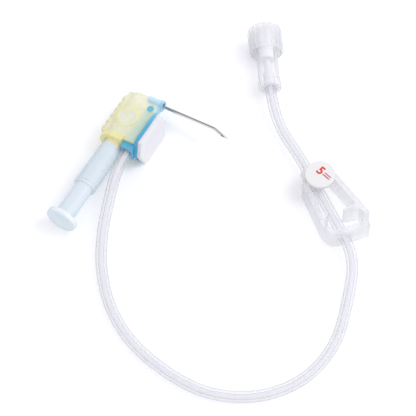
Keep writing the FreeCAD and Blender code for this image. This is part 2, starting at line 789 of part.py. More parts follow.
def place_flat(shape, turn, origin, height):
    """Turns a piece about Z and moves it to its place on the table."""
    placed = shape.copy()
    placed.rotate(Vector(0, 0, 0), Vector(0, 0, 1), turn)
    placed.translate(Vector(origin[0], origin[1], height))
    return placed


def make_tubing(start, end, end_way):
    """The clear tube: from the bottom of its socket, along the route, to the bottom of the luer's socket."""
    clamp_run = [
        place_flat(Part.Vertex(clamp_tube_point(y)), CLAMP_TURN, CLAMP_ORIGIN, 0.0).Point
        for y in (CLAMP_RUN_START, CLAMP_RUN_END)
    ]
    points = [start, start - Vector(0, FIRST_RUN, 0)]
    points += [Vector(*p) for p in ROUTE_BEFORE_CLAMP]
    points += clamp_run
    points += [Vector(*p) for p in ROUTE_AFTER_CLAMP]
    points += [end - end_way * LAST_RUN, end]
    path, radii = rounded_path(points)
    outer = piped(path, TUBE_R)
    tube = outer.cut(piped(path, TUBE_LUMEN_R))
    expected = math.pi * (TUBE_R ** 2 - TUBE_LUMEN_R ** 2) * path.Length
    print("tubing length %.1f mm, volume %.1f of %.1f mm3" % (path.Length, tube.Volume, expected))
    print("tubing radii " + " ".join("%.1f" % r for r in radii))
    print("tubing points " + " ".join("(%.2f, %.2f, %.2f)" % (p.x, p.y, p.z) for p in points))
    print("tubing runs " + " ".join("%.1f" % points[k + 1].sub(points[k]).Length for k in range(len(points) - 1)))
    return tube


def main():
    os.makedirs("parts", exist_ok=True)
    path = needle_path()
    head = {
        "needle": make_needle(path),
        "needle_hub": make_hub(path),
        "base_body": make_base_body(),
        "foam_pad": make_foam_pad(),
        "gripper_housing": make_housing(),
        "outer_sheath": make_outer_sheath(),
        "inner_sheath": make_inner_sheath(),
    }
    roll = head_roll()
    lift = Vector(0, 0, head_height(roll))
    rough = Part.makeCompound([place_head(s, roll, lift) for s in head.values()]).optimalBoundingBox()
    shift = lift - Vector(rough.Center.x, rough.Center.y, 0)
    nodes = {name: place_head(s, roll, shift) for name, s in head.items()}

    nodes["clamp_body"] = place_flat(make_clamp_body(), CLAMP_TURN, CLAMP_ORIGIN, 0.0)
    nodes["clamp_lever"] = place_flat(make_clamp_lever(), CLAMP_TURN, CLAMP_ORIGIN, 0.0)
    nodes["flow_tag"] = place_flat(make_flow_tag(), CLAMP_TURN, CLAMP_ORIGIN, 0.0)
    nodes["luer_connector"] = place_flat(make_luer_connector(), LUER_TURN, LUER_ORIGIN, LUER_HEIGHT)
    nodes["luer_cap"] = place_flat(make_luer_cap(), LUER_TURN, LUER_ORIGIN, LUER_HEIGHT)

    socket = Part.Vertex(Vector(SOCKET_X, SOCKET_MOUTH + SOCKET_DEPTH, SOCKET_Z))
    start = place_head(socket, roll, shift).Point
    luer_way = Vector(math.cos(math.radians(LUER_TURN)), math.sin(math.radians(LUER_TURN)), 0)
    end = Vector(LUER_ORIGIN[0], LUER_ORIGIN[1], LUER_HEIGHT) + luer_way * LUER_SOCKET_DEPTH
    nodes["tubing"] = make_tubing(start, end, luer_way)

    print("head frame at %.3f %.3f %.3f, roll %.3f" % (shift.x, shift.y, shift.z, math.degrees(roll)))
    for name, shape in nodes.items():
        solid = shape.Solids[0]
        print("%s: %d solid, %.2f mm3, valid %s" % (name, len(shape.Solids), shape.Volume, shape.isValid()))
        solid.exportStep("parts/%s.step" % name)


main()
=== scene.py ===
"""Dresses the safety Huber needle set: needle head, folding grip, sheath, tubing, clamp, tag and luer.

Every piece is placed in the row frame, in metres. Sizes in the classes are in millimetres, in the frame
of their own sub-assembly, and a placement turns them into the row frame. New surfaces are numpy grids.
"""

import logging
import math
from dataclasses import dataclass
from enum import Enum

import bpy
import numpy as np
from mathutils import Matrix


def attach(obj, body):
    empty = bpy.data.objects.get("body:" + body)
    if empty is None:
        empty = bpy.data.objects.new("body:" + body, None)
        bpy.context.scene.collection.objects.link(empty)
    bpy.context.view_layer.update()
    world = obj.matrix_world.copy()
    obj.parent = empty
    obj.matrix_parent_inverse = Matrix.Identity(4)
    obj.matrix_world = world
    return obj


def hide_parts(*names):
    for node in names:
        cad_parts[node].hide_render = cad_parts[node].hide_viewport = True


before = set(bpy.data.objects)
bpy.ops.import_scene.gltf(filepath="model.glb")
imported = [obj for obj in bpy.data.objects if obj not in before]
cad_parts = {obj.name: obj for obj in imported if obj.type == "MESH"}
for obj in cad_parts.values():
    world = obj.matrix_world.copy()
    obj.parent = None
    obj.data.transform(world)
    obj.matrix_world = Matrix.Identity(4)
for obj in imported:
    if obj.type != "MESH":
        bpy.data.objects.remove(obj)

LOG = logging.getLogger("huber_set")
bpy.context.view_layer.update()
MM = 0.001
UP = (0.0, 0.0, 1.0)
Array = np.ndarray
Colour = tuple[float, float, float]
Point = tuple[float, float, float]
Piece = bpy.types.Object
Tree = bpy.types.NodeTree
Socket = bpy.types.NodeSocket


# Small helpers

def around(count: int) -> Array:
    """Evenly spaced angles of a full turn, the last one a step short of the first."""
    return np.linspace(0.0, 2.0 * math.pi, count, endpoint=False)


def unit(vectors: Array) -> Array:
    """Vectors scaled to length 1 along their last axis."""
    return vectors / np.linalg.norm(vectors, axis=-1, keepdims=True)


def link(name: str, data: bpy.types.ID) -> Piece:
    """Makes an object of some data and links it to the scene."""
    made = bpy.data.objects.new(name, data)
    bpy.context.scene.collection.objects.link(made)
    return made


def curve_mesh(name: str, curve: bpy.types.Curve) -> bpy.types.Mesh:
    """The mesh that a curve makes; the curve's own object is removed again."""
    holder = link(name, curve)
    bpy.context.view_layer.update()
    mesh = bpy.data.meshes.new_from_object(holder)
    bpy.data.objects.remove(holder)
    return mesh


def mesh_points(mesh: bpy.types.Mesh) -> Array:
    """A mesh's points as a (k, 3) array."""
    points = np.empty(len(mesh.vertices) * 3, dtype=np.float32)
    mesh.vertices.foreach_get("co", points)
    return points.reshape(-1, 3).astype(float)


def looking(place: Array, aim: Array) -> Matrix:
    """The matrix of a level camera or lamp at a place, aimed at a point, both in metres."""
    back = unit(place - aim)
    right = unit(np.cross(UP, back))
    matrix = np.eye(4)
    matrix[:3] = np.column_stack([right, np.cross(back, right), back, place])
    return Matrix(matrix.tolist())


# Placements

@dataclass(frozen=True)
class Placement:
    """Where a sub-assembly's own frame lies in the row frame.

    Attributes:
        origin: the frame's origin in the row frame, in mm.
        roll: turn about the row frame's Y, in degrees, lifting +x towards +z.
        turn: turn about Z, in degrees.
    """

    origin: Point
    roll: float = 0.0
    turn: float = 0.0

    def axes(self) -> Array:
        """The frame's x, y and z directions as the rows of a 3x3 matrix."""
        a, b = math.radians(self.roll), math.radians(self.turn)
        rolled = np.array([[math.cos(a), 0.0, math.sin(a)], [0.0, 1.0, 0.0], [-math.sin(a), 0.0, math.cos(a)]])
        turned = np.array([[math.cos(b), math.sin(b), 0.0], [-math.sin(b), math.cos(b), 0.0], UP])
        return rolled @ turned

    def place(self, points: Array) -> Array:
        """Local mm to row metres.

        Args:
            points: an array whose last axis holds local x, y and z in mm.

        Returns:
            The same array in the row frame, in metres.
        """
        return (points @ self.axes() + np.array(self.origin)) * MM

    def vector_node(self, tree: Tree) -> Socket:
        """A socket with the shaded point in this frame, in mm, from Object coordinates."""
        where = tree.nodes.new("ShaderNodeTexCoord")
        mapping = tree.nodes.new("ShaderNodeMapping")
        mapping.vector_type = "TEXTURE"
        mapping.inputs["Location"].default_value = tuple(v * MM for v in self.origin)
        mapping.inputs["Rotation"].default_value = (0.0, -math.radians(self.roll), math.radians(self.turn))
        mapping.inputs["Scale"].default_value = (MM, MM, MM)
        tree.links.new(where.outputs["Object"], mapping.inputs["Vector"])
        return mapping.outputs["Vector"]


HEAD = Placement((-2.823, 14.550, 4.773), roll=5.362)
CLAMP = Placement((50.9, 6.25, 0.0), turn=51.0)
LUER = Placement((16.3, 38.95, 4.55), turn=124.0)


# Surfaces on grids

class Ends(Enum):
    """How the first and last ring of a shell are closed."""

    POLES = "a single point closes each end"
    LOOP = "the last ring joins the first"


@dataclass
class Shell:
    """A closed surface of rings: an (m, n, 3) grid whose second direction always closes on itself.

    Attributes:
        rings: the grid of points in the row frame, in metres.
        ends: how the first direction is closed.
    """

    rings: Array
    ends: Ends = Ends.POLES

    def faces(self) -> tuple[Array, Array]:
        """Quads between neighbouring rings, and the triangles of the two fans where the ends are poles."""
        m, n = self.rings.shape[:2]
        index = np.arange(m * n).reshape(m, n)
        looped = self.ends is Ends.LOOP
        low = index if looped else index[:-1]
        high = np.roll(index, -1, axis=0) if looped else index[1:]
        quads = np.stack([low, np.roll(low, -1, axis=1), np.roll(high, -1, axis=1), high], axis=-1)
        quads = quads.reshape(-1, 4)
        if looped:
            return quads, np.empty((0, 3), dtype=int)
        first, last = index[0], index[-1]
        start = np.stack([np.roll(first, -1), first, np.full(n, m * n)], axis=-1)
        end = np.stack([last, np.roll(last, -1), np.full(n, m * n + 1)], axis=-1)
        return quads, np.concatenate([start, end])

    def build(self, name: str, sharp: float = 38.0) -> Piece:
        """Makes the mesh object, smooth but for edges sharper than an angle.

        Args:
            name: the object's name.
            sharp: the angle in degrees past which an edge is shaded sharp.

        Returns:
            The new object, linked to the scene, with a UV map of the grid's two directions.
        """
        m, n = self.rings.shape[:2]
        points = self.rings.reshape(-1, 3)
        if self.ends is Ends.POLES:
            points = np.concatenate([points, self.rings[[0, -1]].mean(axis=1)])
        quads, fans = self.faces()
        corners = np.concatenate([quads.ravel(), fans.ravel()])
        counts = np.concatenate([np.full(len(quads), 4), np.full(len(fans), 3)])
        mesh = bpy.data.meshes.new(name)
        mesh.vertices.add(len(points))
        mesh.vertices.foreach_set("co", points.astype(np.float32).ravel())
        mesh.loops.add(len(corners))
        mesh.loops.foreach_set("vertex_index", corners.astype(np.int32))
        mesh.polygons.add(len(counts))
        mesh.polygons.foreach_set("loop_start", (np.cumsum(counts) - counts).astype(np.int32))
        mesh.polygons.foreach_set("loop_total", counts.astype(np.int32))
        mesh.update(calc_edges=True)
        place = np.minimum(corners, m * n - 1)
        uv = np.stack([(place // n) / m, (place % n) / n], axis=-1)
        mesh.uv_layers.new(name="Grid").data.foreach_set("uv", uv.astype(np.float32).ravel())
        mesh.shade_smooth()
        mesh.set_sharp_from_angle(angle=math.radians(sharp))
        mesh.validate()
        return link(name, mesh)


def softened(profile: Array, radius: float, closed: bool, steps: int = 4, most: float = 0.45) -> Array:
    """Rounds every corner of a profile: each corner becomes a short parabola between its two edges.

    A corner P with neighbours A and B becomes (1-t)^2 A' + 2t(1-t) P + t^2 B', where A' and B' lie on the
    edges, the radius away from P or a share of the edge where that is less.

    Args:
        profile: a (k, 2) array of corners.
        radius: how far from the corner the rounding starts, in mm.
        closed: whether the last corner joins the first; otherwise both ends stay as they are.
        steps: pieces of each rounded corner.
        most: the largest share of an edge that a corner may take.

    Returns:
        The rounded profile, (k * (steps + 1), 2).
    """
    before, after = np.roll(profile, 1, axis=0) - profile, np.roll(profile, -1, axis=0) - profile
    lengths = [np.linalg.norm(way, axis=1, keepdims=True) for way in (before, after)]
    start, end = [
        profile + way / length * np.minimum(radius, most * length)
        for way, length in zip((before, after), lengths)
    ]
    t = np.linspace(0.0, 1.0, steps + 1)[None, :, None]
    arcs = (1 - t) ** 2 * start[:, None] + 2 * t * (1 - t) * profile[:, None] + t ** 2 * end[:, None]
    if not closed:
        arcs[0], arcs[-1] = profile[0], profile[-1]
    return arcs.reshape(-1, 2)


def turned_rings(profile: Array, segments: int, base: Array, along: Array) -> Array:
    """A profile turned about an axis: point = base + along * a + r * (cos(t) e1 + sin(t) e2).

    Args:
        profile: a (k, 2) array of places along the axis and radii, in mm.
        segments: points round the axis.
        base: a point of the axis, in mm.
        along: the axis direction, of length 1.

    Returns:
        A (k, segments, 3) grid in mm.
    """
    side = unit(np.cross(along, UP))
    up = np.cross(along, side)
    angle = around(segments)[:, None]
    ring = np.cos(angle) * side + np.sin(angle) * up
    return base + profile[:, 0, None, None] * along + profile[:, 1, None, None] * ring


# Effects shared by the materials, as node groups

class Effect(Enum):
    """The shared node groups."""

    MOULDED = "moulded surface"
    BAND = "band along x"
    RING = "ring about z"
    POOLED = "pooled colour"
    DRAWN = "drawn lines"


def feed(tree: Tree, target: Socket, value: object) -> None:
    """Gives an input its value: a link from a socket, a colour as a tuple, or a plain number."""
    if isinstance(value, Socket):
        tree.links.new(value, target)
    else:
        target.default_value = (*value, 1.0) if isinstance(value, tuple) else value


class Groups:
    """Small node builders, and each shared node group, built once and placed with a material's own values."""

    made: dict[Effect, Tree] = {}

    @staticmethod
    def math(tree: Tree, operation: str, *values: object, clamp: bool = False) -> Socket:
        """The result of a Math node.

        Args:
            tree: the node tree.
            operation: the Math node's operation.
            values: the inputs in order, sockets or plain numbers.
            clamp: whether the result is held between 0 and 1.

        Returns:
            The node's output.
        """
        node = tree.nodes.new("ShaderNodeMath")
        node.operation = operation
        node.use_clamp = clamp
        for target, value in zip(node.inputs, values):
            feed(tree, target, value)
        return node.outputs[0]

    @staticmethod
    def noise(tree: Tree, vector: Socket, scale: Socket, detail: float) -> Socket:
        """A noise texture's value on a vector, at a scale per mm."""
        node = tree.nodes.new("ShaderNodeTexNoise")
        feed(tree, node.inputs["Detail"], detail)
        feed(tree, node.inputs["Scale"], scale)
        feed(tree, node.inputs["Vector"], vector)
        return node.outputs["Fac"]

    @staticmethod
    def blend(tree: Tree, share: Socket, first: object, second: object) -> Socket:
        """A mix of two colours, each a socket or a tuple: the share is that of the second."""
        node = tree.nodes.new("ShaderNodeMix")
        node.data_type = "RGBA"
        colours = [socket for socket in node.inputs if socket.type == "RGBA"]
        feed(tree, node.inputs["Factor"], share)
        feed(tree, colours[0], first)
        feed(tree, colours[1], second)
        return next(socket for socket in node.outputs if socket.type == "RGBA")

    @staticmethod
    def split(tree: Tree, vector: Socket) -> bpy.types.NodeOutputs:
        """A vector's coordinates, the outputs X, Y and Z."""
        node = tree.nodes.new("ShaderNodeSeparateXYZ")
        tree.links.new(vector, node.inputs[0])
        return node.outputs

    @staticmethod
    def ends(
        tree: Tree, inputs: dict[str, str | float], outputs: dict[str, str]
    ) -> tuple[bpy.types.NodeOutputs, bpy.types.NodeInputs]:
        """Gives a group its sockets and its two end nodes.

        Args:
            tree: the group.
            inputs: each input's name with its kind, Vector or Color, or with a plain number's default.
            outputs: each output's name with its kind, Float or Color.

        Returns:
            The values given to the group, and the sockets that take its results.
        """
        for name, given in inputs.items():
            kind = given if isinstance(given, str) else "Float"
            item = tree.interface.new_socket(name=name, in_out="INPUT", socket_type="NodeSocket" + kind)
            if kind == "Float":
                item.default_value = given
        for name, kind in outputs.items():
            tree.interface.new_socket(name=name, in_out="OUTPUT", socket_type="NodeSocket" + kind)
        return tree.nodes.new("NodeGroupInput").outputs, tree.nodes.new("NodeGroupOutput").inputs

    @classmethod
    def tree(cls, effect: Effect) -> Tree:
        """The group of an effect, made when it is first asked for."""
        if effect not in cls.made:
            tree = bpy.data.node_groups.new(effect.value, "ShaderNodeTree")
            maker = {
                Effect.MOULDED: cls.moulded,
                Effect.BAND: cls.band,
                Effect.RING: cls.ring,
                Effect.POOLED: cls.pooled,
                Effect.DRAWN: cls.drawn,
            }[effect]
            maker(tree)
            cls.made[effect] = tree
        return cls.made[effect]

    @classmethod
    def add(cls, tree: Tree, effect: Effect, **values: object) -> bpy.types.NodeOutputs:
        """Places a group in a material.

        Args:
            tree: the material's node tree.
            effect: which group.
            values: inputs by name, underscores for spaces: a socket, a number or a colour.

        Returns:
            The group node's outputs.
        """
        node = tree.nodes.new("ShaderNodeGroup")
        node.node_tree = cls.tree(effect)
        for name, value in values.items():
            feed(tree, node.inputs[name.replace("_", " ")], value)
        return node.outputs

    @classmethod
    def moulded(cls, tree: Tree) -> None:
        """Moulded plastic: fine orange peel in the height, slow patches of haze in the roughness and tint."""
        given, out = cls.ends(
            tree,
            {"Vector": "Vector", "Grain Scale": 6.0, "Haze Scale": 0.5, "Roughness": 0.25, "Haze": 0.08},
            {"Height": "Float", "Roughness": "Float", "Tint": "Float"},
        )
        haze = cls.noise(tree, given["Vector"], given["Haze Scale"], 3.0)
        spread = cls.math(tree, "MULTIPLY", cls.math(tree, "SUBTRACT", haze, 0.5), given["Haze"])
        rough = cls.math(tree, "MULTIPLY_ADD", spread, 2.0, given["Roughness"], clamp=True)
        tree.links.new(cls.noise(tree, given["Vector"], given["Grain Scale"], 2.0), out["Height"])
        tree.links.new(rough, out["Roughness"])
        tree.links.new(haze, out["Tint"])

    @classmethod
    def near(cls, tree: Tree, value: Socket, place: Socket, given: bpy.types.NodeOutputs) -> Socket:
        """A soft mask that is 1 where a value is within the group's Half Width of a place."""
        away = cls.math(tree, "ABSOLUTE", cls.math(tree, "SUBTRACT", value, place))
        soft = cls.math(tree, "DIVIDE", cls.math(tree, "SUBTRACT", given["Half Width"], away), given["Softness"])
        return cls.math(tree, "ADD", soft, 0.5, clamp=True)

    @classmethod
    def band(cls, tree: Tree) -> None:
        """A soft mask that is 1 where one coordinate is within a half width of a place."""
        given, out = cls.ends(
            tree, {"Coordinate": 0.0, "Place": 0.0, "Half Width": 1.0, "Softness": 0.2}, {"Mask": "Float"}
        )
        tree.links.new(cls.near(tree, given["Coordinate"], given["Place"], given), out["Mask"])

    @classmethod
    def ring(cls, tree: Tree) -> None:
        """A soft mask that is 1 near a circle about a centre in the x-y plane."""
        given, out = cls.ends(
            tree,
            {"Vector": "Vector", "Centre X": 0.0, "Centre Y": 0.0, "Radius": 1.0, "Half Width": 0.3, "Softness": 0.2},
            {"Mask": "Float"},
        )
        point = cls.split(tree, given["Vector"])
        dx = cls.math(tree, "SUBTRACT", point["X"], given["Centre X"])
        dy = cls.math(tree, "SUBTRACT", point["Y"], given["Centre Y"])
        square = cls.math(tree, "ADD", cls.math(tree, "MULTIPLY", dx, dx), cls.math(tree, "MULTIPLY", dy, dy))
        distance = cls.math(tree, "SQRT", square)
        tree.links.new(cls.near(tree, distance, given["Radius"], given), out["Mask"])

    @classmethod
    def pooled(cls, tree: Tree) -> None:
        """Mixes a thin colour into a deep one by a mask, with a slow drift from the haze."""
        given, out = cls.ends(
            tree,
            {"Thin": "Color", "Deep": "Color", "Mask": 0.0, "Tint": 0.5, "Drift": 0.15},
            {"Color": "Color"},
        )
        drift = cls.math(tree, "MULTIPLY", cls.math(tree, "SUBTRACT", given["Tint"], 0.5), given["Drift"])
        share = cls.math(tree, "ADD", given["Mask"], cls.math(tree, "MULTIPLY", drift, 2.0), clamp=True)
        tree.links.new(cls.blend(tree, share, given["Thin"], given["Deep"]), out["Color"])

    @classmethod
    def drawn(cls, tree: Tree) -> None:
        """Fine lines along a drawing direction: noise stretched along the first coordinate."""
        given, out = cls.ends(tree, {"Vector": "Vector", "Fineness": 12.0}, {"Lines": "Float"})
        stretch = tree.nodes.new("ShaderNodeMapping")
        stretch.inputs["Scale"].default_value = (0.02, 1.0, 1.0)
        tree.links.new(given["Vector"], stretch.inputs["Vector"])
        tree.links.new(cls.noise(tree, stretch.outputs["Vector"], given["Fineness"], 3.0), out["Lines"])


# Finishes

class Surface:
    """A material in the making, with its node tree and its Principled shader."""

    def __init__(self, name: str) -> None:
        """Starts a material of a name, with Blender's own first nodes."""
        self.material = bpy.data.materials.new(name)
        self.material.use_nodes = True
        self.tree = self.material.node_tree
        self.shader = self.tree.nodes["Principled BSDF"]

    def set(self, **inputs: object) -> None:
        """Feeds the shader's inputs by name, underscores for spaces: a socket, a number or a colour."""
        for name, value in inputs.items():
            feed(self.tree, self.shader.inputs[name.replace("_", " ")], value)

    def facing(self) -> Socket:
        """How far the surface turns away from the eye, 0 face on and 1 at the outline."""
        node = self.tree.nodes.new("ShaderNodeLayerWeight")
        node.inputs["Blend"].default_value = 0.5
        return node.outputs["Facing"]

    def bump(self, height: Socket, depth: float, strength: float = 1.0, invert: bool = False) -> Socket:
        """The normal that a height gives.

        Args:
            height: the height, 0 to 1.
            depth: what a height of 1 measures, in mm.
            strength: the share of the effect.
            invert: whether a height goes down instead of up.

        Returns:
            The Bump node's normal.
        """
        node = self.tree.nodes.new("ShaderNodeBump")
        node.invert = invert
        node.inputs["Strength"].default_value = strength
        node.inputs["Distance"].default_value = depth * MM
        self.tree.links.new(height, node.inputs["Height"])
        return node.outputs["Normal"]

    def let_light_in(self, hides: Socket, share: float) -> Socket:
        """Lowers a skin's opacity for the light that goes through it, so that a clear part is bright inside.

        Args:
            hides: the skin's opacity to the eye.
            share: how much less of the light it stops.

        Returns:
            The opacity: hides * (1 - share) for shadow and diffuse rays, and hides for the others.
        """
        path = self.tree.nodes.new("ShaderNodeLightPath").outputs
        passing = Groups.math(self.tree, "MAXIMUM", path["Is Shadow Ray"], path["Is Diffuse Ray"])
        kept = Groups.math(self.tree, "MULTIPLY_ADD", passing, -share, 1.0)
        return Groups.math(self.tree, "MULTIPLY", hides, kept)


@dataclass(frozen=True)
class Region:
    """A place where a plastic's colour is another one: a thick wall, or something that shows through.

    Attributes:
        effect: BAND across one coordinate, or RING about z.
        place: the band's place on its coordinate, or the ring's centre (x, y), in mm.
        size: half width of the band, or the ring's radius, in mm.
        width: the mask's softness for a band, or the ring's half width, in mm.
        axis: the band's coordinate, X, Y or Z.
        strength: how much of the other colour shows.
    """

    effect: Effect
    place: tuple[float, ...]
    size: float
    width: float
    axis: str = "Y"
    strength: float = 1.0

    def mask(self, tree: Tree, vector: Socket) -> Socket:
        """The region's mask, times its strength."""
        if self.effect is Effect.BAND:
            found = Groups.add(
                tree, Effect.BAND, Coordinate=Groups.split(tree, vector)[self.axis], Place=self.place[0],
                Half_Width=self.size, Softness=self.width,
            )
        else:
            found = Groups.add(
                tree, Effect.RING, Vector=vector, Centre_X=self.place[0], Centre_Y=self.place[1],
                Radius=self.size, Half_Width=self.width, Softness=self.width,
            )
        return Groups.math(tree, "MULTIPLY", found["Mask"], self.strength)


@dataclass(frozen=True)
class Core:
    """A straight core within which a see-through plastic is milky, so that nothing deeper shows.

    Attributes:
        axis: X or Y, the coordinate that it runs along.
        centre: its axis on the other two coordinates, in mm.
        radius: its radius, in mm.
        reach: where it starts and ends on its axis, in mm.
        colour: its colour.
    """

    axis: str
    centre: tuple[float, float]
    radius: float
    reach: tuple[float, float]
    colour: Colour

    def mask(self, tree: Tree, vector: Socket) -> Socket:
        """A mask that is 1 inside the core: near its axis, times between its ends."""
        point = Groups.split(tree, vector)
        across = tree.nodes.new("ShaderNodeCombineXYZ")
        tree.links.new(point["Y" if self.axis == "X" else "X"], across.inputs["X"])
        tree.links.new(point["Z"], across.inputs["Y"])
        near = Groups.add(
            tree, Effect.RING, Vector=across.outputs[0], Centre_X=self.centre[0], Centre_Y=self.centre[1],
            Radius=0.0, Half_Width=self.radius, Softness=0.08,
        )
        start, end = self.reach
        between = Groups.add(
            tree, Effect.BAND, Coordinate=point[self.axis], Place=(start + end) / 2.0,
            Half_Width=(end - start) / 2.0, Softness=0.1,
        )
        return Groups.math(tree, "MULTIPLY", near["Mask"], between["Mask"])


@dataclass(frozen=True)
class Plastic:
    """Moulded plastic, from opaque to clear, whose colour deepens at thick places and turns to the edge colour at its
    outline, where a darker edge colour is painted shade.

    Attributes:
        name: the material's name.
        thin: colour of a thin, face-on wall.
        deep: colour where it is thick.
        edge: colour at the outline, mixed in by facing: where it is darker than the face it is painted shade, and on
            a see-through finish it is also the deeper colour of the longer path through the plastic.
        placement: the frame that its pattern is in.
        roughness: mean roughness.
        ior: index of refraction.
        rim_share: how far the edge colour reaches in from the outline, 0 to 1.
        grain: scale of the surface's orange peel, per mm.
        bump: height of the orange peel, in mm.
        haze: how much the roughness drifts.
        solidity: how much one skin of the wall hides, face on and at its outline.
        airy: how much less of the light a see-through skin stops.
        regions: its thick places.
        tints: places where another colour shows through it, each with that colour.
        cores: where it is milky.
    """

    name: str
    thin: Colour
    deep: Colour
    edge: Colour
    placement: Placement
    roughness: float
    ior: float = 1.49
    rim_share: float = 0.35
    grain: float = 3.0
    bump: float = 0.004
    haze: float = 0.08
    solidity: tuple[float, float] = (1.0, 1.0)
    airy: float = 0.65
    regions: tuple[Region, ...] = ()
    tints: tuple[tuple[Region, Colour], ...] = ()
    cores: tuple[Core, ...] = ()

    def material(self) -> bpy.types.Material:
        """Builds the material: pooled colour, milky cores, tints, an edge colour by facing that paints shade at the
        outline where it is darker, moulded grain and haze.
        """
        made = Surface(self.name)
        tree = made.tree
        vector = self.placement.vector_node(tree)
        skin = Groups.add(
            tree, Effect.MOULDED, Vector=vector, Grain_Scale=self.grain, Roughness=self.roughness, Haze=self.haze
        )
        thick: Socket | float = 0.0
        for region in self.regions:
            thick = Groups.math(tree, "MAXIMUM", thick, region.mask(tree, vector))
        colour = Groups.add(tree, Effect.POOLED, Thin=self.thin, Deep=self.deep, Mask=thick, Tint=skin["Tint"])
        shown = [(core.mask(tree, vector), core.colour) for core in self.cores]
        milky: Socket | float = 0.0
        for inside, _ in shown:
            milky = Groups.math(tree, "MAXIMUM", milky, inside)
        shown += [(region.mask(tree, vector), tint) for region, tint in self.tints]
        for mask, other in shown:
            colour = Groups.add(tree, Effect.POOLED, Thin=colour["Color"], Deep=other, Mask=mask, Drift=0.0)
        # Facing mixes in the edge colour towards the outline: painted shade where that colour is darker than the
        # face.
        rim = Groups.math(tree, "SUBTRACT", made.facing(), 1.0 - self.rim_share)
        rim = Groups.math(tree, "DIVIDE", rim, self.rim_share, clamp=True)
        rim = Groups.math(tree, "MULTIPLY", rim, rim)
        made.set(
            Base_Color=Groups.blend(tree, rim, colour["Color"], self.edge),
            Roughness=skin["Roughness"],
            Normal=made.bump(skin["Height"], self.bump),
            IOR=self.ior,
        )
        face, outline = self.solidity
        if face < 1.0:
            hides = Groups.math(tree, "MULTIPLY_ADD", rim, outline - face, face, clamp=True)
            hides = Groups.math(tree, "MAXIMUM", hides, milky)
            made.set(Alpha=made.let_light_in(hides, self.airy))
        return made.material


@dataclass(frozen=True)
class Steel:
    """Drawn stainless steel with fine lines along the needle.

    Attributes:
        name: the material's name.
        colour: the metal's colour.
        shade: its colour in the drawn lines.
        roughness: least and most roughness.
        fineness: the lines' scale, per mm.
        depth: the lines' depth, in mm.
    """

    name: str = "drawn steel"
    colour: Colour = (0.86, 0.845, 0.835)
    shade: Colour = (0.62, 0.60, 0.59)
    roughness: tuple[float, float] = (0.06, 0.14)
    fineness: float = 9.0
    depth: float = 0.01

    def material(self) -> bpy.types.Material:
        """Builds the material from the drawn-lines effect in the head's frame."""
        made = Surface(self.name)
        tree = made.tree
        lines = Groups.add(tree, Effect.DRAWN, Vector=HEAD.vector_node(tree), Fineness=self.fineness)["Lines"]
        least, most = self.roughness
        made.set(
            Base_Color=Groups.blend(tree, lines, self.shade, self.colour),
            Roughness=Groups.math(tree, "MULTIPLY_ADD", lines, most - least, least, clamp=True),
            Normal=made.bump(lines, self.depth),
            Metallic=1.0,
        )
        return made.material


@dataclass(frozen=True)
class Foam:
    """Fine closed foam: small cells in the height, a soft sheen and painted shade in the hollows of its cells.

    Attributes:
        name: the material's name.
        colour: colour of the skin.
        pore_shade: painted shade inside a cell, the darker the deeper the cell's hollow.
        cells: cells per mm.
        depth: depth of a cell, in mm.
        scatter: how far light scatters inside, in mm.
    """

    name: str = "white foam"
    colour: Colour = (0.90, 0.895, 0.925)
    pore_shade: Colour = (0.76, 0.75, 0.80)
    cells: float = 4.5
    depth: float = 0.06
    scatter: float = 0.6

    def material(self) -> bpy.types.Material:
        """Builds the material: Voronoi cells for the pores and their painted shade, the moulded group for slow
        patches.
        """
        made = Surface(self.name)
        tree = made.tree
        vector = HEAD.vector_node(tree)
        cell = tree.nodes.new("ShaderNodeTexVoronoi")
        cell.inputs["Scale"].default_value = self.cells
        tree.links.new(vector, cell.inputs["Vector"])
        pores = cell.outputs["Distance"]
        skin = Groups.add(tree, Effect.MOULDED, Vector=vector, Grain_Scale=1.2, Roughness=0.8, Haze=0.05)
        # Painted shade in the cells: the deeper a point lies in its cell, the more of the darker cell colour is mixed
        # in.
        colour = Groups.add(
            tree, Effect.POOLED, Thin=self.colour, Deep=self.pore_shade,
            Mask=Groups.math(tree, "MULTIPLY", pores, 0.5), Tint=skin["Tint"], Drift=0.25,
        )
        made.set(
            Base_Color=colour["Color"],
            Roughness=skin["Roughness"],
            Normal=made.bump(pores, self.depth, strength=0.7, invert=True),
            Sheen_Weight=0.15,
            Subsurface_Weight=0.25,
            Subsurface_Scale=self.scatter * MM,
        )
        made.shader.inputs["Subsurface Radius"].default_value = (1.0, 1.0, 1.0)
        return made.material


